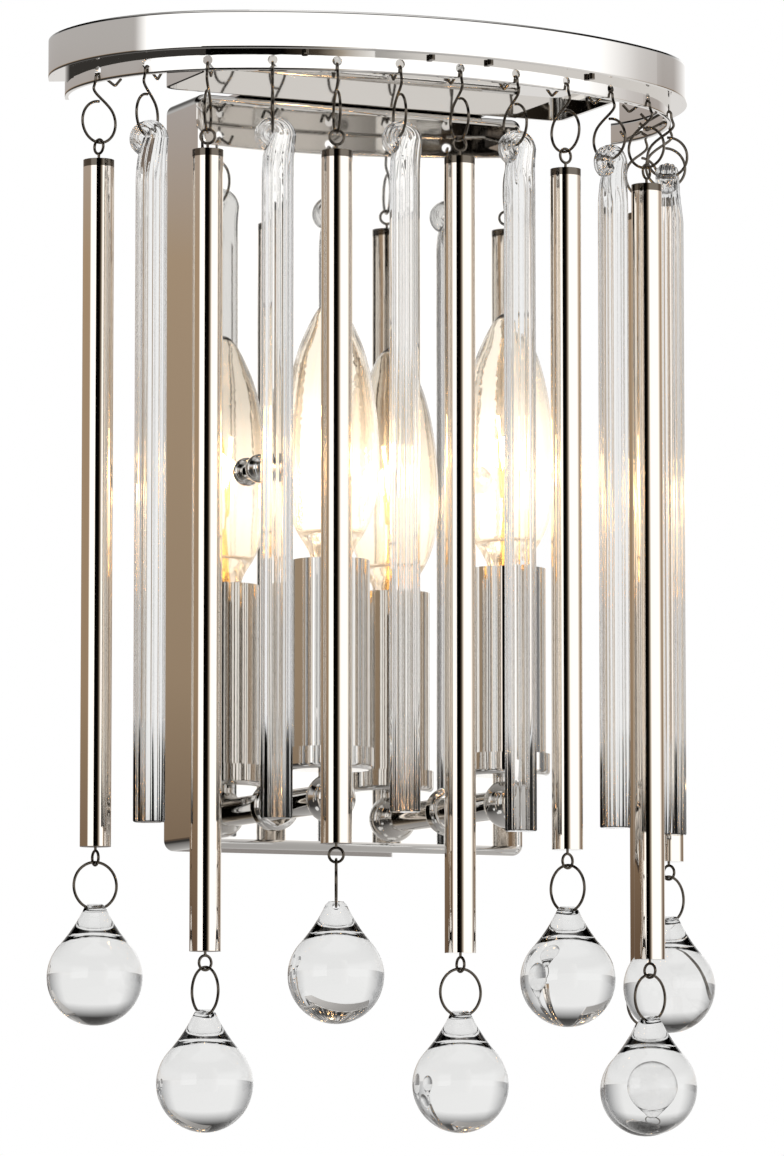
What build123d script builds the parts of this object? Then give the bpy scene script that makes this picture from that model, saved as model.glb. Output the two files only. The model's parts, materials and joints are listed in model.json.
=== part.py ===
from build123d import *
from math import asin, atan2, cos, degrees, radians, sin, sqrt
import os

# Crystal wall sconce: a half-oval crown on a wall pan carries fourteen hanging strands of
# polished tubes and fluted glass rods around two candle lamps. Millimetres, +Z up, the wall is
# the plane Y = 0, the room is on the -Y side and the origin is the centre of the wall plate.

os.makedirs("parts", exist_ok=True)

# Fits between pieces
SEAT = 0.02  # radial gap where one piece is pressed or cemented into another
HANG = 0.06  # gap between a hanging eye and the wire that carries it
SLIDE = 0.10  # radial gap of the lamp base in its socket
THROUGH = 10.0  # length of the cutters that pierce sheet metal

# Wall pan and wall plate
PAN_W, PAN_H, PAN_D = 119.5, 248.0, 26.0
PAN_WALL, PAN_CORNER_R, PAN_EDGE_R = 1.2, 3.5, 3.0
PAN_TOP = PAN_H / 2
STRAP_W, STRAP_H, STRAP_T, STRAP_R = 94.0, 18.0, 2.0, 3.0  # wall plate, a cross of two straps
BOX_SCREWS, SLOT_L, SLOT_W = 88.9, 12.0, 4.8  # upright spacing of the wall box's screws
STUD_X, STUD_R, STUD_CLEAR = 39.5, 2.0, 0.3
KNOB_R, KNOB_FOOT_R = 4.75, 3.4
KNOB_Y = -31.15  # centre of each ball nut

# Crown: plan curve through the hook holes, symmetric about X = 0
CROWN_A = 105.0  # half of its width
CROWN_S = 31.0  # distance from the wall of its widest points
CORNER_R, FRONT_R, REAR_R = 56.0, 156.0, 40.0
CROWN_END_Y = -12.0
HOOK_Z = PAN_TOP  # height of the hook holes
HOLE_R = 1.55
RAIL_IN, RAIL_OUT = -0.6, 0.6  # offsets of the hook rail from the plan curve
RAIL_LOW, LEDGE_LOW, LEDGE_TOP = -3.4, 2.7, 3.9  # heights over the hook holes
BAND_IN, BAND_OUT, BAND_TOP = 4.6, 6.0, 15.1
PITCH = 20.65
STRANDS = ("short", "rod", "long", "rod", "short", "rod", "long",
           "rod", "short", "rod", "long", "rod", "short", "long")
MIDDLE = 7  # this strand, counted from the left, hangs at X = 0

# Crown carrier, an inverted tray under the crown
TRAY_X, TRAY_REAR, TRAY_T, TRAY_R, TRAY_OVER = 73.0, -27.0, 1.2, 5.0, 3.0
TRAY_DEEP = 120.0  # of the rounded block that the crown's curve trims
LIP_GAP = 1.0  # between the lip's ends and the hook rail
TONGUE_X, TONGUE_REAR = 45.0, -8.0
TONGUE_SCREW_X, TONGUE_SCREW_Y = 32.0, -16.0
TONGUE_SCREW_R, TONGUE_SCREW_L, TONGUE_HEAD_R, TONGUE_HEAD_T = 1.75, 7.0, 3.0, 1.8
RAIL_SCREW_S = (-51.6, -10.3, 10.3, 51.6)  # along the curve, between strands
RAIL_SCREW_OFF = 1.75
RAIL_SCREW_R, RAIL_SCREW_L, RAIL_HEAD_R, RAIL_HEAD_T = 1.0, 3.4, 1.8, 1.4

# Strands: hook, tube or rod, jump ring and drop
WIRE_R = 0.45
PIVOT_DROP = HOLE_R + RAIL_OUT  # hook pivot, under the hole centre
SADDLE_R = 1.4  # wire centre line over the lower edge of the hole
LOOP_R, LOOP_Z = 6.7, -16.5  # wire centre line of the hook's loop
LOOP_LOW = LOOP_Z - LOOP_R
LOOP_JOIN, LOOP_SWEEP = 133.0, 317.0  # where the leg runs into the loop, and how far it goes
LEG_BULGE = (2.2, -5.4)
TAIL_SLOPE, TAIL_RUN, TAIL_TIP, TAIL_BEND_R = 28.0, 6.6, (2.4, 2.6), 0.9
EYE_R = 2.3  # wire centre line of a tube's eyes
EYE_TOP_Z = LOOP_LOW + 2 * WIRE_R + HANG - EYE_R
TUBE_R, TUBE_WALL, PLUG_T = 5.0, 0.8, 3.0
TUBE_TOP = -29.0
TUBE_L = {"short": 221.0, "long": 255.0}
EYE_DROP = 3.6  # lower eye centre under the tube's end
EYE_ROOT = 1.0  # length of an eye's wire inside its plug
RING_R = 7.5
RING_DROP = EYE_DROP + EYE_R - 2 * WIRE_R - HANG + RING_R
RING_TURN = (3, -80, 65, 6, -71, 22, 22, 10)  # plane of each jump ring, degrees from +X
DROP_R, DROP_L, NECK_R = 15.25, 38.5, 3.4
NECK_BEVEL, NECK_OVER = 1.0, 2.3  # height of glass over the centre of its hole's wall
DROP_MEET = 42.0  # latitude where the drop's neck runs into its ball, in degrees
NECK_HOLE_R = 1.15
NECK_HOLE_DROP = RING_DROP + RING_R - WIRE_R + NECK_HOLE_R - HANG
DROP_TIP = NECK_HOLE_DROP - NECK_OVER
ROD_R, FLUTES = 5.1, 10
ROD_LOW = (-243.0, -242.1, -239.7, -244.7, -242.0, -242.2)  # they are cut by hand
CROOK_HOLE_R = 1.5
CROOK_HOLE_Z = LOOP_LOW + WIRE_R + HANG - CROOK_HOLE_R
CROOK_R, CROOK_T, CROOK_ROUND, CROOK_TOP = 7.25, 7.0, 2.6, -18.6
CROOK_SIDE, ROD_SIDE = 0.9, 1.7  # sideways from the hook's line
SHOULDER_LOW, SHOULDER_TOP, SHOULDER_R = -38.0, -28.5, (5.5, 3.3)
RUN_ON = 1.0  # how far the fluted rod runs on into its shoulder
FLUTE_R, FLUTE_DEEP = 1.4, 0.5

# Lamps
LAMP_X, LAMP_Y = 31.6, -70.0
ARM_Z, ARM_R, ARM_BORE, ARM_INSIDE = -234.0, 4.7, 3.6, 10.0
BALL_R = 8.0
COLLAR_R, COLLAR_T, COLLAR_ROUND = 8.0, 3.4, 2.0
NIPPLE_R, NIPPLE_BORE, NIPPLE_L = 4.0, 2.8, 16.0  # length over the cup's underside
CUP_R, CUP_LOW, CUP_TOP, CUP_FLOOR, CUP_ROUND = 13.8, -225.0, -218.0, 1.4, 1.6
SLEEVE_R, SLEEVE_WALL, SLEEVE_TOP = 12.5, 1.0, -157.6
SOCKET_R, SOCKET_TOP, SOCKET_BORE_LOW = 10.5, -165.0, -196.0
BASE_R, BASE_LOW, BASE_TOP, BASE_EDGE = 6.0, -181.0, -158.6, 0.5
CONTACT_R, CONTACT_T, CONTACT_TOP_R = 2.4, 2.5, 3.2
GLASS_WALL, GLASS_FOOT_R, GLASS_TIP = 0.8, 6.2, -73.3
GLASS_OUTSIDE = ((10.3, -149.5), (14.3, -139.0), (15.5, -127.0), (15.1, -114.0),
                 (13.4, -100.5), (10.5, -89.0), (6.6, -80.0))
GLASS_INSIDE = ((6.1, -80.8), (9.8, -89.5), (12.6, -100.9), (14.3, -114.2), (14.7, -127.0),
                (13.55, -138.7), (9.6, -149.0))
STEM = ((3.2, 0.0), (2.2, 12.0), (1.6, 20.0), (0.0, 20.0))  # heights over the base, as below
LEAD_R, LEAD_FOOT = 0.3, (1.0, 18.0)
FILAMENT_R, FILAMENT = 0.35, ((-3.4, 50.0), (-1.7, 27.0), (0.0, 51.0), (1.7, 27.0), (3.4, 50.0))


def crown_curve(offset):
    """Draws the crown's plan curve, moved outwards by offset, from left end to right end."""
    k = sqrt((FRONT_R - CORNER_R) ** 2 - (CROWN_A - CORNER_R) ** 2)
    half = degrees(atan2(CROWN_A - CORNER_R, k))
    turn = degrees(asin((CROWN_S + CROWN_END_Y) / REAR_R))
    for side, corner, rear in ((-1, -180, 180 - turn), (1, half - 90, 0)):
        CenterArc((side * (CROWN_A - REAR_R), -CROWN_S), REAR_R + offset, rear, turn)
        CenterArc((side * (CROWN_A - CORNER_R), -CROWN_S), CORNER_R + offset, corner, 90 - half)
    CenterArc((0, k - CROWN_S), FRONT_R + offset, -90 - half, 2 * half)


def crown_end(side, offset):
    turn = asin((CROWN_S + CROWN_END_Y) / REAR_R)
    reach = REAR_R + offset
    return (side * (CROWN_A - REAR_R + reach * cos(turn)), -CROWN_S + reach * sin(turn))


def crown_point(s, offset=0.0):
    """Point and outward direction at arc length s from the middle, in plan."""
    k = sqrt((FRONT_R - CORNER_R) ** 2 - (CROWN_A - CORNER_R) ** 2)
    half = atan2(CROWN_A - CORNER_R, k)
    side, s = (1 if s >= 0 else -1), abs(s)
    corner_s = FRONT_R * half
    rear_s = corner_s + CORNER_R * (radians(90) - half)
    if s <= corner_s:
        angle, cx, cy, r = s / FRONT_R, 0, k - CROWN_S, FRONT_R
    elif s <= rear_s:
        angle = half + (s - corner_s) / CORNER_R
        cx, cy, r = CROWN_A - CORNER_R, -CROWN_S, CORNER_R
    else:
        angle = radians(90) + (s - rear_s) / REAR_R
        cx, cy, r = CROWN_A - REAR_R, -CROWN_S, REAR_R
    nx, ny = side * sin(angle), -cos(angle)
    return side * cx + (r + offset) * nx, cy + (r + offset) * ny, nx, ny


def radial_plane(x, y, z, nx, ny):
    """Upright plane whose local x points along (nx, ny) and whose local y points up."""
    return Plane(origin=(x, y, z), x_dir=(nx, ny, 0), z_dir=(ny, -nx, 0))


def save(part, name):
    part.label = name
    export_step(part, f"parts/{name}.step")


# ---- Wall plate: a cross of two straps on the wall box, tapped for the two studs ----
with BuildPart() as wall_plate:
    with BuildSketch(Plane.XZ):
        RectangleRounded(STRAP_W, STRAP_H, STRAP_R)
        RectangleRounded(STRAP_H, BOX_SCREWS + SLOT_L + 2 * SLOT_W, STRAP_R)
        with Locations((0, -BOX_SCREWS / 2), (0, BOX_SCREWS / 2)):
            SlotOverall(SLOT_L, SLOT_W, rotation=90, mode=Mode.SUBTRACT)
        with Locations((-STUD_X, 0), (STUD_X, 0)):
            Circle(STUD_R + SEAT, mode=Mode.SUBTRACT)
    extrude(amount=STRAP_T)
save(wall_plate.part, "wall_plate")

# ---- Studs and ball nuts: they clamp the pan to the wall plate ----
with BuildPart() as stud_nuts:
    for side in (-1, 1):
        with BuildSketch(Plane(origin=(side * STUD_X, -PAN_D, 0), z_dir=(0, -1, 0))):
            Circle(KNOB_FOOT_R)
        extrude(amount=-KNOB_Y - PAN_D)
        with Locations((side * STUD_X, KNOB_Y, 0)):
            Sphere(KNOB_R)
        with Locations((side * STUD_X, -PAN_D, 0)):
            Cylinder(STUD_R + SEAT, 2 * KNOB_R, rotation=(90, 0, 0), mode=Mode.SUBTRACT)
    for side in (-1, 1):
        with BuildSketch(Plane(origin=(side * STUD_X, 0, 0), z_dir=(0, -1, 0))):
            Circle(STUD_R)
        extrude(amount=PAN_D + KNOB_R - SEAT)
save(stud_nuts.part, "stud_nuts")

# ---- Back plate: a deep-drawn pan, open towards the wall ----
with BuildPart() as back_plate:
    with BuildSketch(Plane.XZ):
        RectangleRounded(PAN_W, PAN_H, PAN_CORNER_R)
    extrude(amount=PAN_D)
    fillet(back_plate.faces().sort_by(Axis.Y)[0].edges(), PAN_EDGE_R)
    offset(amount=-PAN_WALL, openings=back_plate.faces().sort_by(Axis.Y)[-1])
    with Locations((-STUD_X, -PAN_D, 0), (STUD_X, -PAN_D, 0)):
        Cylinder(STUD_R + STUD_CLEAR, THROUGH, rotation=(90, 0, 0), mode=Mode.SUBTRACT)
    with Locations((-LAMP_X, -PAN_D, HOOK_Z + ARM_Z), (LAMP_X, -PAN_D, HOOK_Z + ARM_Z)):
        Cylinder(ARM_R + SEAT, THROUGH, rotation=(90, 0, 0), mode=Mode.SUBTRACT)
    with Locations((-TONGUE_SCREW_X, TONGUE_SCREW_Y, PAN_TOP),
                   (TONGUE_SCREW_X, TONGUE_SCREW_Y, PAN_TOP)):
        Cylinder(TONGUE_SCREW_R, THROUGH, mode=Mode.SUBTRACT)
save(back_plate.part, "back_plate")

# ---- Crown band: the wide outer band of the crown ----
with BuildPart() as crown_band:
    with BuildSketch(Plane.XY.offset(HOOK_Z + LEDGE_LOW)):
        with BuildLine():
            crown_curve(BAND_IN)
            crown_curve(BAND_OUT)
            for side in (-1, 1):
                Line(crown_end(side, BAND_IN), crown_end(side, BAND_OUT))
        make_face()
    extrude(amount=BAND_TOP - LEDGE_LOW)
save(crown_band.part, "crown_band")

# ---- Hook rail: the thinner inner strip with its ledge and a hole for each strand ----
with BuildPart() as hook_rail:
    with BuildSketch(Plane.XY.offset(HOOK_Z + RAIL_LOW)):
        with BuildLine():
            crown_curve(RAIL_IN)
            crown_curve(RAIL_OUT)
            for side in (-1, 1):
                Line(crown_end(side, RAIL_IN), crown_end(side, RAIL_OUT))
        make_face()
    extrude(amount=LEDGE_TOP - RAIL_LOW)
    with BuildSketch(Plane.XY.offset(HOOK_Z + LEDGE_LOW)):
        with BuildLine():
            crown_curve(RAIL_IN)
            crown_curve(BAND_IN - SEAT)
            for side in (-1, 1):
                Line(crown_end(side, RAIL_IN), crown_end(side, BAND_IN - SEAT))
        make_face()
    extrude(amount=LEDGE_TOP - LEDGE_LOW)
    for index in range(len(STRANDS)):
        x, y, nx, ny = crown_point((index + 1 - MIDDLE) * PITCH)
        with Locations(Plane(origin=(x, y, HOOK_Z), z_dir=(nx, ny, 0))):
            Cylinder(HOLE_R, 4 * RAIL_OUT, mode=Mode.SUBTRACT)
    for s in RAIL_SCREW_S:
        x, y, nx, ny = crown_point(s, RAIL_SCREW_OFF)
        with Locations((x, y, HOOK_Z + LEDGE_LOW)):
            Cylinder(RAIL_SCREW_R, THROUGH, mode=Mode.SUBTRACT)
save(hook_rail.part, "hook_rail")

# ---- Crown carrier: plate on the rail's ledge, lip round its rear, tongue on the pan ----
with BuildPart() as crown_carrier:
    with BuildSketch(Plane.XY.offset(HOOK_Z + LEDGE_TOP)):
        with BuildLine():
            crown_curve(TRAY_OVER)
            Line(crown_end(-1, TRAY_OVER), crown_end(1, TRAY_OVER))
        make_face()
        with Locations((0, TRAY_REAR - TRAY_DEEP / 2)):
            RectangleRounded(2 * TRAY_X, TRAY_DEEP, TRAY_R, mode=Mode.INTERSECT)
    extrude(amount=TRAY_T)
    with BuildSketch(Plane.XY.offset(HOOK_Z)):
        with BuildLine():
            crown_curve(RAIL_IN - LIP_GAP)
            Line(crown_end(-1, RAIL_IN - LIP_GAP), crown_end(1, RAIL_IN - LIP_GAP))
        make_face()
        with Locations((0, TRAY_REAR - TRAY_DEEP / 2)):
            RectangleRounded(2 * TRAY_X, TRAY_DEEP, TRAY_R, mode=Mode.INTERSECT)
            RectangleRounded(2 * (TRAY_X - TRAY_T), TRAY_DEEP - 2 * TRAY_T, TRAY_R - TRAY_T,
                             mode=Mode.SUBTRACT)
    extrude(amount=LEDGE_TOP)
    with BuildSketch(Plane.XY.offset(HOOK_Z)):
        with Locations((0, (TRAY_REAR - TRAY_T + TONGUE_REAR) / 2)):
            Rectangle(2 * TONGUE_X, TONGUE_REAR - TRAY_REAR + TRAY_T)
    extrude(amount=TRAY_T)
    with Locations((-TONGUE_SCREW_X, TONGUE_SCREW_Y, HOOK_Z),
                   (TONGUE_SCREW_X, TONGUE_SCREW_Y, HOOK_Z)):
        Cylinder(TONGUE_SCREW_R, THROUGH, mode=Mode.SUBTRACT)
    for s in RAIL_SCREW_S:
        x, y, nx, ny = crown_point(s, RAIL_SCREW_OFF)
        with Locations((x, y, HOOK_Z + LEDGE_TOP)):
            Cylinder(RAIL_SCREW_R, THROUGH, mode=Mode.SUBTRACT)
save(crown_carrier.part, "crown_carrier")

# ---- Carrier screws: two down into the pan's top, four into the rail's ledge ----
with BuildPart() as carrier_screws:
    with Locations((-TONGUE_SCREW_X, TONGUE_SCREW_Y, HOOK_Z + TRAY_T),
                   (TONGUE_SCREW_X, TONGUE_SCREW_Y, HOOK_Z + TRAY_T)):
        Cylinder(TONGUE_HEAD_R, TONGUE_HEAD_T, align=(Align.CENTER, Align.CENTER, Align.MIN))
        Cylinder(TONGUE_SCREW_R - SEAT, TONGUE_SCREW_L, align=(Align.CENTER, Align.CENTER, Align.MAX))
    for s in RAIL_SCREW_S:
        x, y, nx, ny = crown_point(s, RAIL_SCREW_OFF)
        with Locations((x, y, HOOK_Z + LEDGE_TOP + TRAY_T)):
            Cylinder(RAIL_HEAD_R, RAIL_HEAD_T, align=(Align.CENTER, Align.CENTER, Align.MIN))
            Cylinder(RAIL_SCREW_R - SEAT, RAIL_SCREW_L, align=(Align.CENTER, Align.CENTER, Align.MAX))
save(carrier_screws.part, "carrier_screws")

# ---- Lamp arms: tube from the pan, collar outside it, lock nut inside it, ball under the cup ----
with BuildPart() as lamp_arms:
    for side in (-1, 1):
        with Locations((side * LAMP_X, LAMP_Y, HOOK_Z + ARM_Z)):
            Sphere(BALL_R)
        with BuildSketch(Plane(origin=(side * LAMP_X, LAMP_Y, HOOK_Z + ARM_Z), z_dir=(0, 1, 0))):
            Circle(ARM_R)
        extrude(amount=-LAMP_Y - PAN_D + ARM_INSIDE)
        with Locations((side * LAMP_X, LAMP_Y, HOOK_Z + ARM_Z)):
            Cylinder(NIPPLE_R, CUP_LOW + NIPPLE_L - ARM_Z,
                     align=(Align.CENTER, Align.CENTER, Align.MIN))
            Cylinder(NIPPLE_BORE, CUP_LOW + NIPPLE_L - ARM_Z,
                     align=(Align.CENTER, Align.CENTER, Align.MIN), mode=Mode.SUBTRACT)
        with BuildSketch(Plane(origin=(side * LAMP_X, LAMP_Y, HOOK_Z + ARM_Z), z_dir=(0, 1, 0))):
            Circle(ARM_BORE)
        extrude(amount=-LAMP_Y - PAN_D + ARM_INSIDE, mode=Mode.SUBTRACT)
save(lamp_arms.part, "lamp_arms")

with BuildPart() as arm_collars:
    for side in (-1, 1):
        with BuildSketch(Plane(origin=(side * LAMP_X, -PAN_D, HOOK_Z + ARM_Z), z_dir=(0, -1, 0))):
            Circle(COLLAR_R)
            Circle(ARM_R + SEAT, mode=Mode.SUBTRACT)
        extrude(amount=COLLAR_T)
    fillet(arm_collars.faces().sort_by(Axis.Y)[:2].edges().filter_by(
        lambda e: e.radius > ARM_R + 1), COLLAR_ROUND)
    for side in (-1, 1):
        with BuildSketch(Plane(origin=(side * LAMP_X, PAN_WALL - PAN_D, HOOK_Z + ARM_Z),
                               z_dir=(0, 1, 0))):
            RegularPolygon(COLLAR_R, 6)
            Circle(ARM_R + SEAT, mode=Mode.SUBTRACT)
        extrude(amount=COLLAR_T)
save(arm_collars.part, "arm_collars")

# ---- Candle cups: shallow dishes that hold the sleeves ----
with BuildPart() as candle_cups:
    for side in (-1, 1):
        with BuildSketch(radial_plane(side * LAMP_X, LAMP_Y, HOOK_Z, 1, 0)):
            with BuildLine():
                Line((NIPPLE_R + SEAT, CUP_LOW), (CUP_R - CUP_ROUND, CUP_LOW))
                RadiusArc((CUP_R - CUP_ROUND, CUP_LOW), (CUP_R, CUP_LOW + CUP_ROUND), -CUP_ROUND)
                Polyline((CUP_R, CUP_LOW + CUP_ROUND), (CUP_R, CUP_TOP), (SLEEVE_R + SEAT, CUP_TOP),
                         (SLEEVE_R + SEAT, CUP_LOW + CUP_FLOOR),
                         (NIPPLE_R + SEAT, CUP_LOW + CUP_FLOOR), (NIPPLE_R + SEAT, CUP_LOW))
            make_face()
        revolve(axis=Axis((side * LAMP_X, LAMP_Y, 0), (0, 0, 1)))
save(candle_cups.part, "candle_cups")

# ---- Candle sleeves: plain polished tubes round the sockets ----
with BuildPart() as candle_sleeves:
    for side in (-1, 1):
        with BuildSketch(Plane(origin=(side * LAMP_X, LAMP_Y, HOOK_Z + CUP_LOW + CUP_FLOOR + SEAT))):
            Circle(SLEEVE_R)
            Circle(SLEEVE_R - SLEEVE_WALL, mode=Mode.SUBTRACT)
        extrude(amount=SLEEVE_TOP - CUP_LOW - CUP_FLOOR - SEAT)
save(candle_sleeves.part, "candle_sleeves")

# ---- Lamp sockets: on the arms' nipples, with a bore for the lamp base ----
with BuildPart() as lamp_sockets:
    for side in (-1, 1):
        with BuildSketch(Plane(origin=(side * LAMP_X, LAMP_Y, HOOK_Z + CUP_LOW + CUP_FLOOR + SEAT))):
            Circle(SOCKET_R)
        extrude(amount=SOCKET_TOP - CUP_LOW - CUP_FLOOR - SEAT)
        with Locations((side * LAMP_X, LAMP_Y, HOOK_Z + SOCKET_TOP)):
            Cylinder(BASE_R + SLIDE, SOCKET_TOP - SOCKET_BORE_LOW,
                     align=(Align.CENTER, Align.CENTER, Align.MAX), mode=Mode.SUBTRACT)
        with Locations((side * LAMP_X, LAMP_Y, HOOK_Z + CUP_LOW)):
            Cylinder(NIPPLE_R + SEAT, NIPPLE_L + SEAT,
                     align=(Align.CENTER, Align.CENTER, Align.MIN), mode=Mode.SUBTRACT)
save(lamp_sockets.part, "lamp_sockets")

# ---- Bulbs: clear torpedo envelope on a screw base with a stem and a filament ----
for side, hand in ((-1, "left"), (1, "right")):
    lamp_axis = Axis((side * LAMP_X, LAMP_Y, 0), (0, 0, 1))
    lamp_plane = radial_plane(side * LAMP_X, LAMP_Y, HOOK_Z, 1, 0)
    with BuildPart() as bulb_glass:
        with BuildSketch(lamp_plane):
            with BuildLine():
                Line((BASE_R - GLASS_WALL, BASE_TOP + SEAT), (GLASS_FOOT_R, BASE_TOP + SEAT))
                Spline((GLASS_FOOT_R, BASE_TOP + SEAT), *GLASS_OUTSIDE, (0, GLASS_TIP),
                       tangents=[(0.1, 1), (-1, 0.1)])
                Line((0, GLASS_TIP), (0, GLASS_TIP - GLASS_WALL))
                Spline((0, GLASS_TIP - GLASS_WALL), *GLASS_INSIDE, (BASE_R - GLASS_WALL, BASE_TOP + SEAT),
                       tangents=[(1, -0.1), (-0.1, -1)])
            make_face()
        revolve(axis=lamp_axis)
    save(bulb_glass.part, f"bulb_glass_{hand}")

    with BuildPart() as bulb_base:
        with BuildSketch(lamp_plane):
            with BuildLine():
                Polyline((0, BASE_LOW - CONTACT_T), (CONTACT_R, BASE_LOW - CONTACT_T),
                         (CONTACT_TOP_R, BASE_LOW), (BASE_R - BASE_EDGE, BASE_LOW),
                         (BASE_R, BASE_LOW + BASE_EDGE), (BASE_R, BASE_TOP),
                         *[(r, BASE_TOP + z) for r, z in STEM], (0, BASE_LOW - CONTACT_T))
            make_face()
        revolve(axis=lamp_axis)
        for lead in (-1, 1):
            with BuildLine(lamp_plane) as lead_path:
                Line((lead * LEAD_FOOT[0], BASE_TOP + LEAD_FOOT[1]),
                     (lead * FILAMENT[-1][0], BASE_TOP + FILAMENT[-1][1]))
            with BuildSketch(Plane(origin=lead_path.line @ 0, z_dir=lead_path.line % 0)):
                Circle(LEAD_R)
            sweep(path=lead_path.line)
        with BuildLine(lamp_plane) as filament_path:
            Spline(*[(r, BASE_TOP + z) for r, z in FILAMENT])
        with BuildSketch(Plane(origin=filament_path.line @ 0, z_dir=filament_path.line % 0)):
            Circle(FILAMENT_R)
        sweep(path=filament_path.line)
    save(bulb_base.part, f"bulb_base_{hand}")

# ---- Wire hook, drawn flat with its outward side along X and up along Y: a retaining tail
# inside the rail, a saddle over the hole's lower edge, a bulging leg, then the round loop ----
slope, join = radians(TAIL_SLOPE), radians(LOOP_JOIN)
top = (-SADDLE_R * sin(slope), SADDLE_R * cos(slope) - PIVOT_DROP)
bend = (top[0] - TAIL_RUN * cos(slope), top[1] - TAIL_RUN * sin(slope))
tail_tip = (bend[0] - TAIL_TIP[0], bend[1] + TAIL_TIP[1])
with BuildPart() as hook_form:
    with BuildLine() as hook_path:
        FilletPolyline(tail_tip, bend, top, radius=TAIL_BEND_R)
        CenterArc((0, -PIVOT_DROP), SADDLE_R, 90 + TAIL_SLOPE, -90 - TAIL_SLOPE)
        Spline((SADDLE_R, -PIVOT_DROP), LEG_BULGE,
               (LOOP_R * cos(join), LOOP_Z + LOOP_R * sin(join)),
               tangents=[(0, -1), (-sin(join), cos(join))])
        CenterArc((0, LOOP_Z), LOOP_R, LOOP_JOIN, LOOP_SWEEP)
    for stretch in hook_path.edges():
        with BuildSketch(Plane(origin=stretch @ 0, z_dir=stretch % 0)):
            Circle(WIRE_R)
        sweep(path=stretch)

# ---- Strands: on each hook hangs a tube with ring and drop, or a fluted rod ----
tubes = rods = 0
for index, kind in enumerate(STRANDS):
    x, y, nx, ny = crown_point((index + 1 - MIDDLE) * PITCH)
    hook_plane = radial_plane(x, y, HOOK_Z, nx, ny)
    across = radial_plane(x, y, HOOK_Z, -ny, nx)

    with BuildPart() as hook:
        with Locations(hook_plane.location):
            add(hook_form.part)
    save(hook.part, f"hook_{index + 1:02d}")

    if kind == "rod":
        rods += 1
        # Fluted glass rod with a flattened, pierced crook at its top
        with BuildPart() as rod:
            with BuildSketch(across.offset(-CROOK_T / 2)):
                with Locations((CROOK_SIDE, CROOK_TOP - CROOK_R)):
                    Circle(CROOK_R)
            extrude(amount=CROOK_T)
            fillet(rod.edges(), CROOK_ROUND)
            section = Plane(origin=(x, y, HOOK_Z), x_dir=(-ny, nx, 0), z_dir=(0, 0, 1))
            with BuildSketch(section.offset(SHOULDER_LOW)):
                with Locations((ROD_SIDE, 0)):
                    Circle(ROD_R)
            with BuildSketch(section.offset(SHOULDER_TOP)):
                with Locations((ROD_SIDE, 0)):
                    Ellipse(*SHOULDER_R)
            loft()
            with BuildSketch(section.offset(ROD_LOW[rods - 1])):
                with Locations((ROD_SIDE, 0)):
                    Circle(ROD_R)
                    with PolarLocations(ROD_R + FLUTE_R - FLUTE_DEEP, FLUTES):
                        Circle(FLUTE_R, mode=Mode.SUBTRACT)
            extrude(amount=SHOULDER_LOW + RUN_ON - ROD_LOW[rods - 1])
            with Locations(hook_plane.location * Location((0, LOOP_Z, 0))):
                Torus(LOOP_Z - CROOK_HOLE_Z, CROOK_HOLE_R, mode=Mode.SUBTRACT)
        save(rod.part, f"rod_{rods}")
        continue

    tubes += 1
    low = TUBE_TOP - TUBE_L[kind]
    turn = radians(RING_TURN[tubes - 1])
    ring_plane = radial_plane(x, y, HOOK_Z + low, cos(turn), sin(turn))
    eye_plane = radial_plane(x, y, HOOK_Z, -sin(turn), cos(turn))

    # Metal tube, closed by two end plugs that carry wire eyes
    with BuildPart() as tube:
        with BuildSketch(Plane(origin=(x, y, HOOK_Z + low))):
            Circle(TUBE_R)
            Circle(TUBE_R - TUBE_WALL, mode=Mode.SUBTRACT)
        extrude(amount=TUBE_L[kind])
        for end, eye_z, plane in ((TUBE_TOP, EYE_TOP_Z, across),
                                  (low + PLUG_T, low - EYE_DROP, eye_plane)):
            with Locations((x, y, HOOK_Z + end)):
                Cylinder(TUBE_R - TUBE_WALL - SEAT, PLUG_T,
                         align=(Align.CENTER, Align.CENTER, Align.MAX))
            with Locations(plane.location * Location((0, eye_z, 0))):
                Torus(EYE_R, WIRE_R)
        with Locations((x, y, HOOK_Z + TUBE_TOP - EYE_ROOT)):
            Cylinder(WIRE_R, EYE_TOP_Z - EYE_R - TUBE_TOP + EYE_ROOT,
                     align=(Align.CENTER, Align.CENTER, Align.MIN))
        with Locations((x, y, HOOK_Z + low + EYE_ROOT)):
            Cylinder(WIRE_R, EYE_DROP - EYE_R + EYE_ROOT,
                     align=(Align.CENTER, Align.CENTER, Align.MAX))
    save(tube.part, f"tube_{tubes}")

    # Jump ring through the lower eye
    with BuildPart() as drop_ring:
        with Locations(ring_plane.location * Location((0, -RING_DROP, 0))):
            Torus(RING_R, WIRE_R)
    save(drop_ring.part, f"drop_ring_{tubes}")

    # Clear glass drop: a ball with a pierced neck, hung on the ring
    with BuildPart() as drop:
        centre = DROP_R - DROP_TIP - DROP_L
        tip = -DROP_TIP
        meet = radians(DROP_MEET)
        shoulder = (DROP_R * cos(meet), centre + DROP_R * sin(meet))
        with BuildSketch(ring_plane):
            with BuildLine():
                Polyline((0, centre - DROP_R), (0, tip), (NECK_R - NECK_BEVEL, tip),
                         (NECK_R, tip - NECK_BEVEL))
                TangentArc(shoulder, (NECK_R, tip - NECK_BEVEL), tangent=(-sin(meet), cos(meet)))
                CenterArc((0, centre), DROP_R, -90, 90 + DROP_MEET)
            make_face()
        revolve(axis=Axis((x, y, 0), (0, 0, 1)))
        with Locations(ring_plane.location * Location((0, -RING_DROP, 0))):
            Torus(NECK_HOLE_DROP - RING_DROP, NECK_HOLE_R, mode=Mode.SUBTRACT)
    save(drop.part, f"drop_{tubes}")
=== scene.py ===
from math import cos, pi, radians, sin

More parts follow.
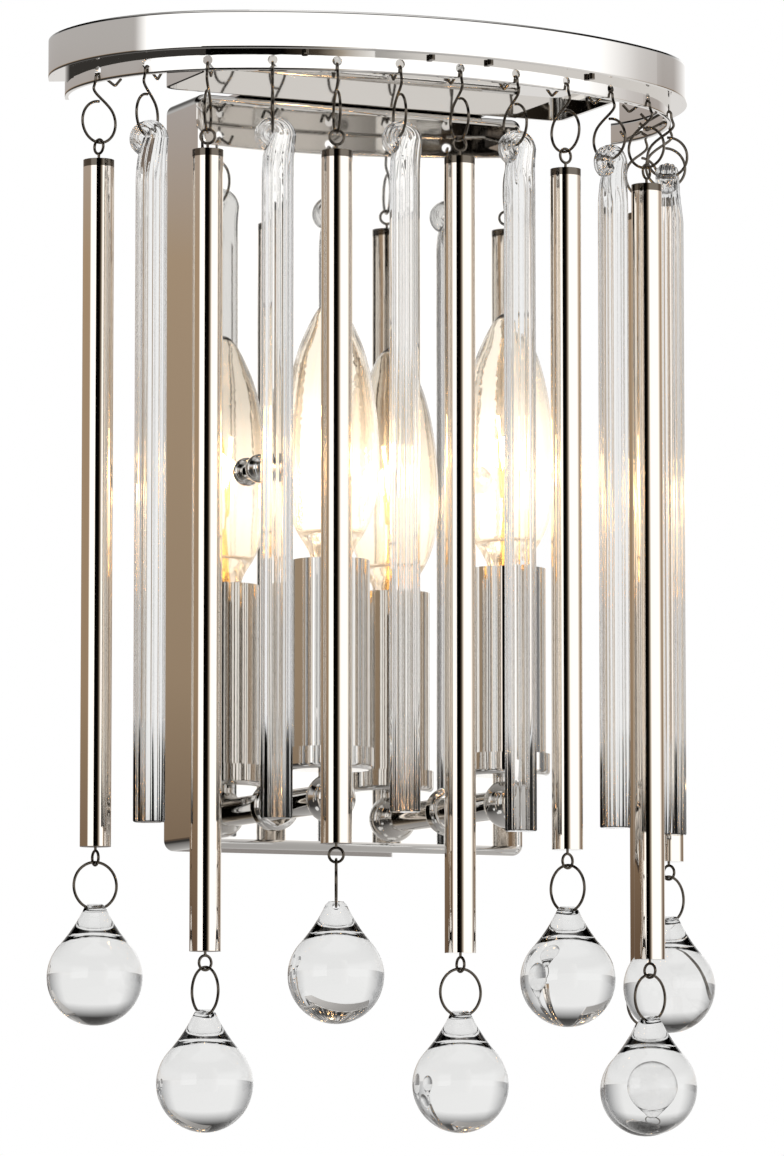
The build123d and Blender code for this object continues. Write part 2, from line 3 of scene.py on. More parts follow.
import bmesh
import bpy
from mathutils import Matrix, Vector
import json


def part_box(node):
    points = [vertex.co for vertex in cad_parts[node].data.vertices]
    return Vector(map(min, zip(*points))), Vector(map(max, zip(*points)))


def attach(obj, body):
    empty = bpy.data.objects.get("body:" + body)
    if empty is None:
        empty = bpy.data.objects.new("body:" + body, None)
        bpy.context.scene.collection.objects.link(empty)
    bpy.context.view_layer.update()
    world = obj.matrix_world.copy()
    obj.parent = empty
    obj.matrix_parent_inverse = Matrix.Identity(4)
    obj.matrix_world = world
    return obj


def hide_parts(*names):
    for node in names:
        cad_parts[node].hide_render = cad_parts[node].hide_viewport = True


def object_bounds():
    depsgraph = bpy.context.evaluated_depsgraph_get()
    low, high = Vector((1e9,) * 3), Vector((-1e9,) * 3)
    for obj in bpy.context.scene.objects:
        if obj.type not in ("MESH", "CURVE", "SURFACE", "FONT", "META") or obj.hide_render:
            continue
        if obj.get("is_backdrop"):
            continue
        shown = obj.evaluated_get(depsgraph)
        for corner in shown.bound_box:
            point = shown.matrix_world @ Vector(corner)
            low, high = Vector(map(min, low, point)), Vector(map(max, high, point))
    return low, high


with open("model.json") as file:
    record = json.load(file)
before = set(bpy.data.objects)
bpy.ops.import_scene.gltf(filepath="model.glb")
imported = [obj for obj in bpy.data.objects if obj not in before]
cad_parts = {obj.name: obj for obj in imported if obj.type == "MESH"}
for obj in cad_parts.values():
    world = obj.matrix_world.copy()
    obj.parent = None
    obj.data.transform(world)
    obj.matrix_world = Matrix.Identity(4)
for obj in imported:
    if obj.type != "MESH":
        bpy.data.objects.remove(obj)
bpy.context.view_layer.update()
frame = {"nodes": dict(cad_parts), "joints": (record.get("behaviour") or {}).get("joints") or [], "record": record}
MM = 0.001


# ---- Camera: a long lens from the left of the lamp and a little below it, tilted upwards ----
# It stands two metres away, so the crown shows its underside and the pan its left side. Its
# focal length is in pixels of a frame whose longer side has 1156 of them.
VIEW_TURN, VIEW_TILT = radians(25.13), radians(5.84)
CAMERA_AT = (-830.5 * MM, -1819.3 * MM, -235.9 * MM)
FOCAL_PIXELS, FRAME_LONG_SIDE, SENSOR_WIDTH = 6023, 1156, 36
CLIP_NEAR, CLIP_FAR = 0.05, 50

camera = bpy.data.objects.new("camera", bpy.data.cameras.new("camera"))
camera.data.sensor_width = SENSOR_WIDTH
camera.data.lens = SENSOR_WIDTH * FOCAL_PIXELS / FRAME_LONG_SIDE
camera.data.clip_start, camera.data.clip_end = CLIP_NEAR, CLIP_FAR
camera.location = CAMERA_AT
gaze = Vector((sin(VIEW_TURN) * cos(VIEW_TILT), cos(VIEW_TURN) * cos(VIEW_TILT), sin(VIEW_TILT)))
camera.rotation_mode = "QUATERNION"
camera.rotation_quaternion = gaze.to_track_quat("-Z", "Y")
bpy.context.collection.objects.link(camera)
bpy.context.scene.camera = camera
bpy.context.scene.view_settings.view_transform = "Standard"


# ---- Studio: what the polished metal and the glass see around them ----
# Mirrors see a white wall of light round the camera, a tan room to its left, a darker corner to
# the far right and a dark band of ceiling. Glass sees a pale room with grey sides, and the
# camera itself sees plain white.
def linear(code):
    """The linear colour of an sRGB hex value such as "d8cfc4"."""
    parts = [int(code[i:i + 2], 16) / 255 for i in (0, 2, 4)]
    return [p / 12.92 if p <= 0.04045 else ((p + 0.055) / 1.055) ** 2.4 for p in parts] + [1.0]


def node(tree, kind, settings=None, **links):
    """Adds a node with its settings and links.

    A setting "in_Name" or "in_3" is an input's value, "stops" is a ramp's list of places and
    colours, and any other is an attribute. A link names its input, or numbers it as "_3".
    """
    made = tree.nodes.new(kind)
    for name, value in (settings or {}).items():
        if name == "stops":
            elements = made.color_ramp.elements
            while len(elements) < len(value):
                elements.new(0.5)
            for element, (place, colour) in zip(elements, value):
                element.position = place
                element.color = colour
        elif name.startswith("in_"):
            key = name[3:]
            made.inputs[int(key) if key.isdigit() else key.replace("_", " ")].default_value = value
        else:
            setattr(made, name, value)
    for name, socket in links.items():
        key = name[1:] if name[1:].isdigit() else name.replace("_", " ")
        tree.links.new(socket, made.inputs[int(key) if key.isdigit() else key])
    return made


def by_ray(tree, base, *others):
    """Mixes shaders over the base by the kind of ray that meets them, the last one on top."""
    path = node(tree, "ShaderNodeLightPath")
    for ray, shader in others:
        base = node(tree, "ShaderNodeMixShader", None, Fac=path.outputs[ray],
                    _1=base.outputs[0], _2=shader.outputs[0])
    return base


def bearing(degrees_right):
    """Place on a ramp of a bearing, counted to the right from the camera's own direction."""
    return (degrees_right + 180) / 360


BACK_WAY = Vector((-sin(VIEW_TURN), -cos(VIEW_TURN), 0))  # level, from the lamp to the camera
RIGHT_WAY = Vector((cos(VIEW_TURN), -sin(VIEW_TURN), 0))
WHITE_WALL, CEILING = "ffffff", "0a0908"
PALE_ROOM, GLASS_GREY, GLASS_CEILING = "f2f2f1", "77787a", "2c2b2a"
MATT_LIGHT, MIRROR_LIGHT = 0.8, 1.3
# Heights are the upward part of a direction, from level at 0 to straight up at 1
ROOM_FROM, ROOM_TO = -0.05, 0.25
ROOM_BY_HEIGHT = ((0.0, "4a3f36"), (0.3, "5c4c3e"), (0.45, "8b7964"), (0.68, "98856f"),
                  (0.76, "9b9490"), (0.80, "a5a2a0"), (1.0, "a3a2a1"))
CEILING_PART = ((0.0, 0), (0.30, 0), (0.46, 1), (0.72, 1), (0.84, 0.35), (1.0, 0.3))
GLASS_CEILING_FROM, GLASS_CEILING_TO = 0.45, 0.75
# How much of the tan room the white wall covers at each bearing, as a grey
WHITE_PART = ((-180, "707070"), (-165, "000000"), (-61, "000000"), (-52, "ffffff"),
              (88, "ffffff"), (104, "909090"), (118, "101010"), (134, "202020"),
              (150, "b4b4b4"), (165, "e8e8e8"), (180, "f0f0f0"))
GLASS_BY_BEARING = ((-180, PALE_ROOM), (-150, PALE_ROOM), (-115, GLASS_GREY), (-80, GLASS_GREY),
                    (-40, PALE_ROOM), (60, PALE_ROOM), (85, GLASS_GREY), (115, GLASS_GREY),
                    (150, PALE_ROOM), (180, PALE_ROOM))

world = bpy.data.worlds.new("studio")
bpy.context.scene.world = world
world.use_nodes = True
tree = world.node_tree
tree.nodes.clear()
way = node(tree, "ShaderNodeTexCoord").outputs["Generated"]
to_camera = node(tree, "ShaderNodeVectorMath",
                 {"operation": "DOT_PRODUCT", "in_1": BACK_WAY}, _0=way)
to_right = node(tree, "ShaderNodeVectorMath",
                {"operation": "DOT_PRODUCT", "in_1": RIGHT_WAY}, _0=way)
upward = node(tree, "ShaderNodeSeparateXYZ", None, Vector=way).outputs["Z"]
angle = node(tree, "ShaderNodeMath", {"operation": "ARCTAN2"},
             _0=to_right.outputs["Value"], _1=to_camera.outputs["Value"])
place = node(tree, "ShaderNodeMapRange", {"in_1": -pi, "in_2": pi}, _0=angle.outputs[0])

height = node(tree, "ShaderNodeMapRange", {"in_1": ROOM_FROM, "in_2": ROOM_TO}, _0=upward)
room = node(tree, "ShaderNodeValToRGB", {
    "stops": [(z, linear(code)) for z, code in ROOM_BY_HEIGHT]}, Fac=height.outputs[0])
white_part = node(tree, "ShaderNodeValToRGB", {
    "stops": [(bearing(turn), linear(code)) for turn, code in WHITE_PART]}, Fac=place.outputs[0])
walls = node(tree, "ShaderNodeMix", {"data_type": "RGBA", "in_7": linear(WHITE_WALL)},
             Factor=white_part.outputs[0], _6=room.outputs[0])
height = node(tree, "ShaderNodeMapRange", None, _0=upward)
ceiling_part = node(tree, "ShaderNodeValToRGB", {
    "stops": [(z, (part, part, part, 1)) for z, part in CEILING_PART]}, Fac=height.outputs[0])
for_metal = node(tree, "ShaderNodeMix", {"data_type": "RGBA", "in_7": linear(CEILING)},
                 Factor=ceiling_part.outputs[0], _6=walls.outputs[2])

around = node(tree, "ShaderNodeValToRGB", {
    "stops": [(bearing(turn), linear(code)) for turn, code in GLASS_BY_BEARING]},
    Fac=place.outputs[0])
over = node(tree, "ShaderNodeMapRange",
            {"in_1": GLASS_CEILING_FROM, "in_2": GLASS_CEILING_TO}, _0=upward)
for_glass = node(tree, "ShaderNodeMix", {"data_type": "RGBA", "in_7": linear(GLASS_CEILING)},
                 Factor=over.outputs[0], _6=around.outputs[0])

# A ray through glass counts as glossy too, so what glass sees is mixed in after the metal
matt = node(tree, "ShaderNodeBackground",
            {"in_Color": linear("f4f4f2"), "in_Strength": MATT_LIGHT})
metal = node(tree, "ShaderNodeBackground", {"in_Strength": MIRROR_LIGHT},
             Color=for_metal.outputs[2])
glass = node(tree, "ShaderNodeBackground", None, Color=for_glass.outputs[2])
seen = node(tree, "ShaderNodeBackground", {"in_Color": linear("ffffff")})
shown = by_ray(tree, matt, ("Is Glossy Ray", metal), ("Is Transmission Ray", glass),
               ("Is Camera Ray", seen))
node(tree, "ShaderNodeOutputWorld", None, Surface=shown.outputs[0])


def material(name):
    """A new material, and its emptied node tree."""
    made = bpy.data.materials.new(name)
    made.use_nodes = True
    made.node_tree.nodes.clear()
    return made, made.node_tree


def flat_sheet(name, width, height, centre, turn=None):
    """A sheet of one face, on the stage."""
    mesh = bmesh.new()
    bmesh.ops.create_grid(mesh, x_segments=1, y_segments=1, size=0.5)
    bmesh.ops.scale(mesh, vec=(width, height, 1), verts=mesh.verts)
    if turn is not None:
        bmesh.ops.rotate(mesh, cent=(0, 0, 0), matrix=turn, verts=mesh.verts)
    bmesh.ops.translate(mesh, vec=centre, verts=mesh.verts)
    data = bpy.data.meshes.new(name)
    mesh.to_mesh(data)
    mesh.free()
    made = bpy.data.objects.new(name, data)
    bpy.context.collection.objects.link(made)
    made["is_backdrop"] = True
    return made


# Floor: a pale seamless sheet well under the lamp, which hangs on a wall. To lamps it is matt and
# keeps the shadow. Mirrors see it glow with a painted reflection, dark at the left and pale at the
# right, and glass sees it glow evenly pale.
FLOOR_Z, FLOOR_SIDE = -0.42, 8
FLOOR_SHADE_FROM, FLOOR_SHADE_TO = -0.6, 0.8

floor = flat_sheet("floor", FLOOR_SIDE, FLOOR_SIDE, (0, 0, FLOOR_Z))
floor_paint, tree = material("matt_floor_painted_reflection")
matt = node(tree, "ShaderNodeBsdfPrincipled", {
    "in_Base_Color": linear("f3f2ef"), "in_Roughness": 0.9, "in_Specular_IOR_Level": 0.1})
at = node(tree, "ShaderNodeSeparateXYZ", None,
          Vector=node(tree, "ShaderNodeTexCoord").outputs["Object"]).outputs["X"]
side = node(tree, "ShaderNodeMapRange",
            {"in_1": FLOOR_SHADE_FROM, "in_2": FLOOR_SHADE_TO}, _0=at)
shade = node(tree, "ShaderNodeValToRGB", {
    "stops": [(0.0, linear("3a3836")), (1.0, linear("e4e2e0"))]}, Fac=side.outputs[0])
# Painted reflection: the glow that mirrors see, dark at the left to pale at the right
dim = node(tree, "ShaderNodeEmission", None, Color=shade.outputs[0])
bright = node(tree, "ShaderNodeEmission", {"in_Color": linear("eeeeed")})
shown = by_ray(tree, matt, ("Is Glossy Ray", dim), ("Is Transmission Ray", bright))
node(tree, "ShaderNodeOutputMaterial", None, Surface=shown.outputs[0])
floor.data.materials.append(floor_paint)

# Dark card beside the camera, under the height that the crown reflects: only mirrors see it,
# and it draws the black line down each tube and sleeve. Towards its right end it turns white.
CARD_AWAY, CARD_LEFT, CARD_RIGHT, CARD_LOW, CARD_HIGH = 0.62, -0.20, 0.30, -0.38, 0.213
CARD_FADE = ((0.0, "020202"), (0.50, "040302"), (0.66, "4c443a"), (0.80, "b0a698"),
             (1.0, "ffffff"))

card_at = BACK_WAY * CARD_AWAY + RIGHT_WAY * (CARD_LEFT + CARD_RIGHT) / 2
card_at.z = (CARD_LOW + CARD_HIGH) / 2
card_turn = (-BACK_WAY).to_track_quat("Z", "Y").to_matrix()
card = flat_sheet("dark_card", CARD_RIGHT - CARD_LEFT, CARD_HIGH - CARD_LOW, card_at, card_turn)
card_paint, tree = material("black_card")
at = node(tree, "ShaderNodeTexCoord").outputs["Object"]
along = node(tree, "ShaderNodeVectorMath",
             {"operation": "DOT_PRODUCT", "in_1": RIGHT_WAY}, _0=at)
side = node(tree, "ShaderNodeMapRange", {"in_1": CARD_LEFT, "in_2": CARD_RIGHT},
            _0=along.outputs["Value"])
fade = node(tree, "ShaderNodeValToRGB", {
    "stops": [(part, linear(code)) for part, code in CARD_FADE]}, Fac=side.outputs[0])
black = node(tree, "ShaderNodeEmission", None, Color=fade.outputs[0])
node(tree, "ShaderNodeOutputMaterial", None, Surface=black.outputs[0])
card.data.materials.append(card_paint)
card.visible_camera = card.visible_diffuse = card.visible_transmission = False
card.visible_shadow = card.visible_volume_scatter = False

# Soft lamps: they light what is matt and lay the shadow on the floor
LAMP_SIDE = 1.2

for name, spot, power in (("key", (-1.4, -1.6, 1.6), 22), ("fill", (1.5, -1.2, 1.0), 12)):
    lamp = bpy.data.objects.new(name, bpy.data.lights.new(name, "AREA"))
    lamp.data.size, lamp.data.energy = LAMP_SIDE, power
    lamp.location = spot
    lamp.rotation_mode = "QUATERNION"
    lamp.rotation_quaternion = (-Vector(spot)).to_track_quat("-Z", "Y")
    lamp.visible_glossy = lamp.visible_transmission = False
    bpy.context.collection.objects.link(lamp)


# ---- Polished sheet: pan, tray under the crown, arms, collars, cups, sleeves and ball nuts ----
# Steel and brass, pressed, drawn or turned, then buffed and plated with bright nickel. Two ball
# nuts clamp the pan to the wall plate; a collar outside the pan and a lock nut inside it hold
# each arm.
NICKEL, HAZE_MM, HAZE_LEAST, HAZE_MOST = "efedea", 14, 0.7, 1.4
WIRE_TONE = "6b645b"
EDGE_ROLL, EDGE_FALL, EDGE_POWER = 0.9 * MM, 0.45 * MM, 2.5


def polished_nickel(name, colour, roughness, peel_mm, peel_depth, rolled=(), wire_beyond=None):
    """Buffed nickel plate: a slightly warm mirror with the faintest orange peel and haze.

    rolled lists pairs of an edge's height and the height where its rounding starts, and
    wire_beyond is a pair of heights under and over which the piece has the tone of wire.
    """
    made, tree = material(name)
    at = node(tree, "ShaderNodeTexCoord").outputs["Object"]
    height = node(tree, "ShaderNodeSeparateXYZ", None, Vector=at).outputs["Z"]
    haze = node(tree, "ShaderNodeTexNoise",
                {"in_Scale": 1 / (HAZE_MM * MM), "in_Detail": 3.0}, Vector=at)
    rough = node(tree, "ShaderNodeMapRange",
                 {"in_3": roughness * HAZE_LEAST, "in_4": roughness * HAZE_MOST},
                 _0=haze.outputs[0])
    peel = node(tree, "ShaderNodeTexNoise",
                {"in_Scale": 1 / (peel_mm * MM), "in_Detail": 2.0}, Vector=at)
    bump = node(tree, "ShaderNodeBump", {"in_Strength": 1.0, "in_Distance": peel_depth * MM},
                Height=peel.outputs[0])
    for edge, inside in rolled:
        near = node(tree, "ShaderNodeMapRange", {"in_1": inside, "in_2": edge}, _0=height)
        fall = node(tree, "ShaderNodeMath", {"operation": "POWER", "in_1": EDGE_POWER},
                    _0=near.outputs[0])
        bump = node(tree, "ShaderNodeBump",
                    {"invert": True, "in_Strength": 1.0, "in_Distance": EDGE_FALL},
                    Height=fall.outputs[0], Normal=bump.outputs[0])
    shell = node(tree, "ShaderNodeBsdfPrincipled",
                 {"in_Base_Color": linear(colour), "in_Metallic": 1.0},
                 Roughness=rough.outputs[0], Normal=bump.outputs[0])
    if wire_beyond is not None:
        lower, upper = wire_beyond
        above = node(tree, "ShaderNodeMath", {"operation": "GREATER_THAN", "in_1": upper},
                     _0=height)
        below = node(tree, "ShaderNodeMath", {"operation": "LESS_THAN", "in_1": lower},
                     _0=height)
        either = node(tree, "ShaderNodeMath", {"operation": "ADD"},
                      _0=above.outputs[0], _1=below.outputs[0])
        tone = node(tree, "ShaderNodeValToRGB", {
            "stops": [(0.0, linear(colour)), (1.0, linear(WIRE_TONE))]}, Fac=either.outputs[0])
        tree.links.new(tone.outputs[0], shell.inputs["Base Color"])
    node(tree, "ShaderNodeOutputMaterial", None, Surface=shell.outputs[0])
    return made


def dress(names, paint):
    """Gives CAD nodes a material."""
    for name in names:
        for holder in frame["nodes"][name].material_slots:
            holder.material = paint


def nodes_like(*starts):
    """The CAD nodes whose names start in one of these ways."""
    return [name for name in frame["nodes"] if name.startswith(starts)]


dress(["back_plate", "crown_carrier", "lamp_arms", "arm_collars", "candle_cups",
       "candle_sleeves", "stud_nuts"],
      polished_nickel("nickel_polished_sheet", NICKEL, 0.03, 45, 0.02))


# ---- Crown: the band and, under it, the hook rail ----
# Two strips of sheet metal bent to a half oval, buffed and nickel-plated; the inner one has a
# ledge and a hole for each strand. Edges rounded in the material draw thin dark lines on both.
for member in ("crown_band", "hook_rail"):
    lower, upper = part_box(member)[0][2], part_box(member)[1][2]
    dress([member], polished_nickel(
        f"nickel_polished_{member}", NICKEL, 0.03, 45, 0.02,
        rolled=((upper, upper - EDGE_ROLL), (lower, lower + EDGE_ROLL))))


# ---- Tubes: eight polished tubes with a wire eye at each end ----
# Drawn metal tube, plated with nickel, which mirrors the room in long smooth lines. Its colour is
# painted a little warmer than the sheet's, a painted warm light from the bulbs and the tan room on it.
# A plug closes each end and carries a wire eye, which is as dark as the hooks.
TUBE_NICKEL_PAINTED_WARM = "f3ebe1"
# How far the tone of wire reaches in from each end of the node: at the foot over the eye, and
# at the top over the eye, which stands 7.2 mm over the tube, and the tube's uppermost 2.3 mm
WIRE_FROM_TOP, WIRE_FROM_FOOT = 9.55 * MM, 6.36 * MM

for member in nodes_like("tube_"):
    lower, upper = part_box(member)[0][2] + WIRE_FROM_FOOT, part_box(member)[1][2] - WIRE_FROM_TOP
    dress([member], polished_nickel(f"nickel_polished_{member}", TUBE_NICKEL_PAINTED_WARM, 0.035, 30, 0.004,
                                    wire_beyond=(lower, upper)))


# ---- Hooks, jump rings and the carrier's screws ----
# Hooks and rings are bent from nickel-plated wire, which isn't buffed and so looks duller and
# darker than the sheet. A hook's saddle hangs in a hole of the rail. The screws that hold the
# carrier on the pan and the rail have the same finish.
wire_nickel = polished_nickel("nickel_bright_wire", WIRE_TONE, 0.12, 4, 0.003)
dress(nodes_like("hook_0", "hook_1", "drop_ring_") + ["carrier_screws"], wire_nickel)


# ---- Fluted rods: six clear rods, each hung by its own bent crook ----
# A fluted rod of lead-free crystal, drawn hot and cut to length. Its hot top is bent over into a
# closed crook that hangs on the hook, so the flutes run on round the hole.
CRYSTAL_IOR = 1.52


def clear_glass(name, tint, stretch, line_mm, depth):
    """Colourless crystal: nearly invisible but for its edges, and a waviness that bends light."""
    made, tree = material(name)
    at = node(tree, "ShaderNodeTexCoord").outputs["Object"]
    along = node(tree, "ShaderNodeMapping", {"in_Scale": stretch}, Vector=at)
    lines = node(tree, "ShaderNodeTexNoise",
                 {"in_Scale": 1 / (line_mm * MM), "in_Detail": 2.0}, Vector=along.outputs[0])
    bump = node(tree, "ShaderNodeBump", {"in_Strength": 1.0, "in_Distance": depth * MM},
                Height=lines.outputs[0])
    body = node(tree, "ShaderNodeBsdfPrincipled", {
        "in_Base_Color": linear(tint), "in_Roughness": 0.01, "in_IOR": CRYSTAL_IOR,
        "in_Transmission_Weight": 1.0}, Normal=bump.outputs[0])
    node(tree, "ShaderNodeOutputMaterial", None, Surface=body.outputs[0])
    return made


# Drawn crystal: faint draw lines, 3.5 mm apart, run nearly straight along the rod
rod_glass = clear_glass("crystal_drawn_rod", "fbfbfb", (1, 1, 0.02), 3.5, 0.03)

# The section is a ring of radius 1 with ten flutes. Rings of it are listed from the cut lower
# end to the crook's tip, in millimetres from the hook's line and from the pan's top edge.
ROD_FLUTES, FLUTE_PROFILE = 10, (0.885, 0.93, 0.985, 1.0, 0.985, 0.93)
ROD_SIDE, ROD_RADIUS, CUT_EDGE, SHAFT_RINGS = 1.7, 5.1, 0.35, 5
BEND_RINGS = ((1.7, -38.0, 5.1, 5.1), (1.75, -34.5, 5.1, 4.7), (1.95, -31.0, 5.05, 4.2),
              (2.5, -27.5, 4.75, 3.8))  # side, height, half width, half depth
HOLE_Z, CROOK_RINGS, CROOK_SWEEP = -24.19, 22, radians(238)
# Reach from the hole's centre and half width, where the crook starts and where it ends
CROOK_START, CROOK_END, CROOK_HALF_DEPTH, CROOK_NARROWING = (3.3, 4.3), (3.4, 2.4), 3.5, 2.4
TIP_RINGS, TIP_TURN = ((0.85, 0.9), (0.5, 1.5)), 0.8  # shrink, and millimetres past the end
PAN_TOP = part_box("back_plate")[1][2]


def ring_matrix(root, side_way, out_way, side, height, half_width, half_depth, lean=0.0):
    """Places the unit section: its x across the rod, its y outwards, its z along the rod."""
    across = side_way * cos(lean) + Vector((0, 0, 1)) * sin(lean)
    along = Vector((0, 0, 1)) * cos(lean) - side_way * sin(lean)
    turn = Matrix((across, out_way, along)).transposed().to_4x4()
    spot = root + side_way * side * MM + Vector((0, 0, height * MM))
    size = Matrix.Diagonal((half_width * MM, half_depth * MM, 1, 1))
    return Matrix.Translation(spot) @ turn @ size


def rod_rings(foot):
    """The rings of a rod whose lower end is at this height."""
    shaft_top = BEND_RINGS[0][1]
    rings = [(ROD_SIDE, foot, ROD_RADIUS - CUT_EDGE, ROD_RADIUS - CUT_EDGE),
             (ROD_SIDE, foot + CUT_EDGE, ROD_RADIUS, ROD_RADIUS)]
    rings += [(ROD_SIDE, foot + (shaft_top - foot) * k / SHAFT_RINGS, ROD_RADIUS, ROD_RADIUS)
              for k in range(1, SHAFT_RINGS)]
    rings += BEND_RINGS
    for step in range(CROOK_RINGS + 1):
        part = step / CROOK_RINGS
        lean = CROOK_SWEEP * part
        reach = CROOK_START[0] + (CROOK_END[0] - CROOK_START[0]) * part
        narrowed = min(1, part * CROOK_NARROWING)
        half = CROOK_START[1] + (CROOK_END[1] - CROOK_START[1]) * narrowed
        rings.append((reach * cos(lean), HOLE_Z + reach * sin(lean), half, CROOK_HALF_DEPTH,
                      lean))
    reach, half = CROOK_END
    for shrink, past in TIP_RINGS:
        lean = CROOK_SWEEP + past / reach * TIP_TURN
        rings.append((reach * cos(lean), HOLE_Z + reach * sin(lean), half * shrink,
                      CROOK_HALF_DEPTH * shrink, lean))
    return rings


def fluted_rod(name, joint, foot):
    pivot, hinge = Vector(joint["pos_m"]), Vector(joint["axis"])
    out_way = Vector((-hinge.y, hinge.x, 0)).normalized()
    side_way = Vector((-out_way.y, out_way.x, 0))
    root = Vector((pivot.x, pivot.y, PAN_TOP))
    places = [ring_matrix(root, side_way, out_way, *ring) for ring in rod_rings(foot)]
    mesh = bmesh.new()
    bmesh.ops.create_circle(mesh, segments=ROD_FLUTES * len(FLUTE_PROFILE), radius=1)
    mesh.verts.ensure_lookup_table()
    for vert in mesh.verts:
        vert.co *= FLUTE_PROFILE[vert.index % len(FLUTE_PROFILE)]
    bmesh.ops.edgeloop_fill(mesh, edges=mesh.edges)
    bmesh.ops.transform(mesh, matrix=places[0], verts=mesh.verts)
    edges = list(mesh.edges)
    for last, here in zip(places, places[1:]):
        grown = bmesh.ops.extrude_edge_only(mesh, edges=edges)["geom"]
        verts = [g for g in grown if isinstance(g, bmesh.types.BMVert)]
        bmesh.ops.transform(mesh, matrix=here @ last.inverted(), verts=verts)
        new = set(verts)
        edges = [g for g in grown if isinstance(g, bmesh.types.BMEdge)
                 and all(vert in new for vert in g.verts)]
    bmesh.ops.edgeloop_fill(mesh, edges=edges)
    bmesh.ops.recalc_face_normals(mesh, faces=mesh.faces)
    for face in mesh.faces:
        face.smooth = len(face.verts) == 4
    data = bpy.data.meshes.new(name)
    mesh.to_mesh(data)
    mesh.free()
    made = bpy.data.objects.new(name, data)
    bpy.context.collection.objects.link(made)
    data.materials.append(rod_glass)
    return made


joint_of = {joint["child"]: joint for joint in frame["joints"]}
for body, members in frame["record"]["behaviour"]["bodies"].items():
    for member in members:
        if member.startswith("rod_"):
            foot = (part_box(member)[0][2] - PAN_TOP) / MM
            rod = fluted_rod(f"fluted_{member}", joint_of[body], foot)
            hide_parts(member)
            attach(rod, body)


# ---- Drops: eight solid glass drops on their jump rings ----
# A pressed glass ball with a neck that is pierced for its ring. The pressing leaves a soft
# waviness, about 9 mm from crest to crest, that bends what is seen through it.
drop_glass = clear_glass("crystal_pressed_drop", "f9f9f9", (1, 1, 1), 9, 0.08)
dress([name for name in nodes_like("drop_") if name not in nodes_like("drop_ring_")], drop_glass)


# ---- Bulbs: two clear torpedo lamps, lit ----
# A clear blown envelope of soda-lime glass on a screw base that stands in the socket. A faint
# ripple moves its highlights, and a glow drawn in the glass fades from the filament to the tip.
SODA_LIME_IOR, ENVELOPE_GLOW, RIPPLE_MM, RIPPLE_DEPTH = 1.46, 0.22, 18, 0.03
LIT_BY_HEIGHT = ((0.0, "8a7058"), (0.12, "d9c6ae"), (0.32, "fff0de"), (0.5, "d8c4ac"),
                 (0.75, "4e443a"), (1.0, "1c1916"))

bulb_glass, tree = material("blown_clear_glass")
at = node(tree, "ShaderNodeTexCoord").outputs["Object"]
bulb_foot, bulb_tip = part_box("bulb_glass_left")[0][2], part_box("bulb_glass_left")[1][2]
height = node(tree, "ShaderNodeMapRange", {"in_1": bulb_foot, "in_2": bulb_tip},
              _0=node(tree, "ShaderNodeSeparateXYZ", None, Vector=at).outputs["Z"])
lit = node(tree, "ShaderNodeValToRGB", {
    "stops": [(part, linear(code)) for part, code in LIT_BY_HEIGHT]}, Fac=height.outputs[0])
lit.color_ramp.interpolation = "EASE"
ripple = node(tree, "ShaderNodeTexNoise",
              {"in_Scale": 1 / (RIPPLE_MM * MM), "in_Detail": 1.0}, Vector=at)
bump = node(tree, "ShaderNodeBump", {"in_Strength": 1.0, "in_Distance": RIPPLE_DEPTH * MM},
            Height=ripple.outputs[0])
body = node(tree, "ShaderNodeBsdfPrincipled", {
    "in_Base_Color": linear("fffaf2"), "in_Roughness": 0.0, "in_IOR": SODA_LIME_IOR,
    "in_Transmission_Weight": 1.0, "in_Emission_Strength": ENVELOPE_GLOW},
    Normal=bump.outputs[0], Emission_Color=lit.outputs[0])
node(tree, "ShaderNodeOutputMaterial", None, Surface=body.outputs[0])
dress(["bulb_glass_left", "bulb_glass_right"], bulb_glass)

# Filament: coiled tungsten wire in two tall folds, drawn as thick as its glow looks. It glows
# an even warm white, and a point lamp in its middle gives the light.
FILAMENT_LOW, FILAMENT_HIGH, FILAMENT_WIDE, FILAMENT_THICK = 27 * MM, 51 * MM, 3.4 * MM, 0.55 * MM
FILAMENT_FOLDS = ((-1, FILAMENT_HIGH), (-0.5, FILAMENT_LOW), (0, FILAMENT_HIGH),
                  (0.5, FILAMENT_LOW), (1, FILAMENT_HIGH))
FILAMENT_GLOW, LAMP_POWER, LAMP_RADIUS = 60.0, 1.2, 6 * MM

hot, tree = material("tungsten_glowing")
glow = node(tree, "ShaderNodeEmission",
            {"in_Color": linear("ffd9a0"), "in_Strength": FILAMENT_GLOW})
node(tree, "ShaderNodeOutputMaterial", None, Surface=glow.outputs[0])
for hand in ("left", "right"):
    low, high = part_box(f"bulb_glass_{hand}")
    middle, foot = (Vector(low) + Vector(high)) / 2, low[2]
    curve = bpy.data.curves.new(f"filament_{hand}", "CURVE")
    curve.dimensions = "3D"
    curve.bevel_depth, curve.bevel_resolution, curve.use_fill_caps = FILAMENT_THICK, 4, True
    line = curve.splines.new("NURBS")
    line.points.add(len(FILAMENT_FOLDS) - 1)
    for point, (across, up) in zip(line.points, FILAMENT_FOLDS):
        point.co = (middle.x + across * FILAMENT_WIDE, middle.y, foot + up, 1)
    line.order_u, line.use_endpoint_u = 3, True
    filament = bpy.data.objects.new(f"filament_{hand}", curve)
    curve.materials.append(hot)
    bpy.context.collection.objects.link(filament)
    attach(filament, f"bulb_{hand}")

    light = bpy.data.objects.new(f"glow_{hand}", bpy.data.lights.new(f"glow_{hand}", "POINT"))
    light.data.energy, light.data.shadow_soft_size = LAMP_POWER, LAMP_RADIUS
    light.data.color = linear("ffcf96")[:3]
    light.location = (middle.x, middle.y, foot + (FILAMENT_LOW + FILAMENT_HIGH) / 2)
    bpy.context.collection.objects.link(light)

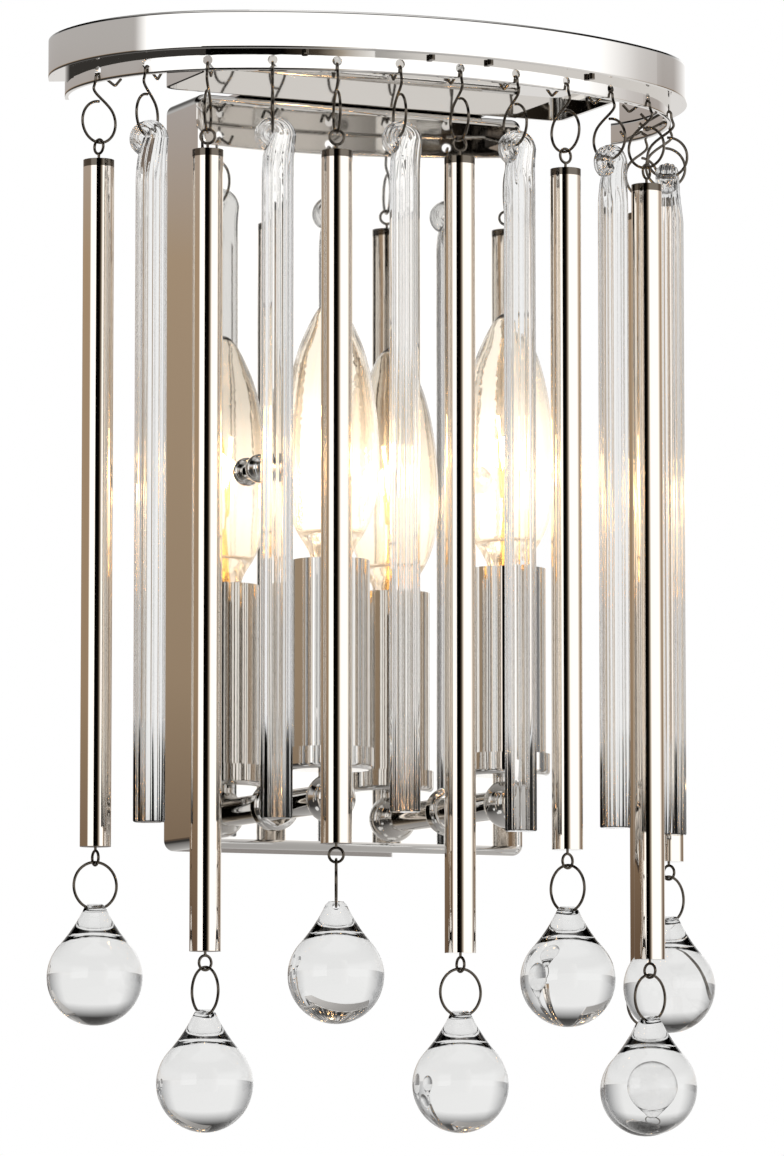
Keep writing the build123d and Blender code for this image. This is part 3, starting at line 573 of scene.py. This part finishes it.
# Lamp base: stamped brass, unlacquered, so its shine is slightly uneven
brass, tree = material("brass_stamped")
at = node(tree, "ShaderNodeTexCoord").outputs["Object"]
dull = node(tree, "ShaderNodeTexNoise", {"in_Scale": 1 / (3 * MM)}, Vector=at)
rough = node(tree, "ShaderNodeMapRange", {"in_3": 0.18, "in_4": 0.34}, _0=dull.outputs[0])
shell = node(tree, "ShaderNodeBsdfPrincipled",
             {"in_Base_Color": linear("d9b46c"), "in_Metallic": 1.0}, Roughness=rough.outputs[0])
node(tree, "ShaderNodeOutputMaterial", None, Surface=shell.outputs[0])
dress(["bulb_base_left", "bulb_base_right"], brass)


# ---- Lamp sockets: one in each candle sleeve ----
# Moulded black phenolic, on the arm's nipple, with a bore for the lamp's base. The moulding
# leaves a fine grain that breaks up its gloss.
phenolic, tree = material("phenolic_moulded")
at = node(tree, "ShaderNodeTexCoord").outputs["Object"]
grain = node(tree, "ShaderNodeTexNoise", {"in_Scale": 1 / (0.8 * MM)}, Vector=at)
bump = node(tree, "ShaderNodeBump", {"in_Distance": 0.02 * MM}, Height=grain.outputs[0])
shell = node(tree, "ShaderNodeBsdfPrincipled",
             {"in_Base_Color": linear("1c1b1a"), "in_Roughness": 0.4}, Normal=bump.outputs[0])
node(tree, "ShaderNodeOutputMaterial", None, Surface=shell.outputs[0])
dress(["lamp_sockets"], phenolic)


# ---- Wall plate: a cross of two steel straps behind the pan ----
# Zinc-plated steel, 2 mm thick, with slots for the screws of the wall's box and the studs of the
# ball nuts in it. The zinc's spangle, about 5 mm across, varies its dull shine.
zinc, tree = material("steel_zinc_plated")
at = node(tree, "ShaderNodeTexCoord").outputs["Object"]
spangle = node(tree, "ShaderNodeTexVoronoi", {"in_Scale": 1 / (5 * MM)}, Vector=at)
rough = node(tree, "ShaderNodeMapRange", {"in_3": 0.28, "in_4": 0.5},
             _0=spangle.outputs["Distance"])
shell = node(tree, "ShaderNodeBsdfPrincipled",
             {"in_Base_Color": linear("b9bcc0"), "in_Metallic": 1.0}, Roughness=rough.outputs[0])
node(tree, "ShaderNodeOutputMaterial", None, Surface=shell.outputs[0])
dress(["wall_plate"], zinc)


low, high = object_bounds()
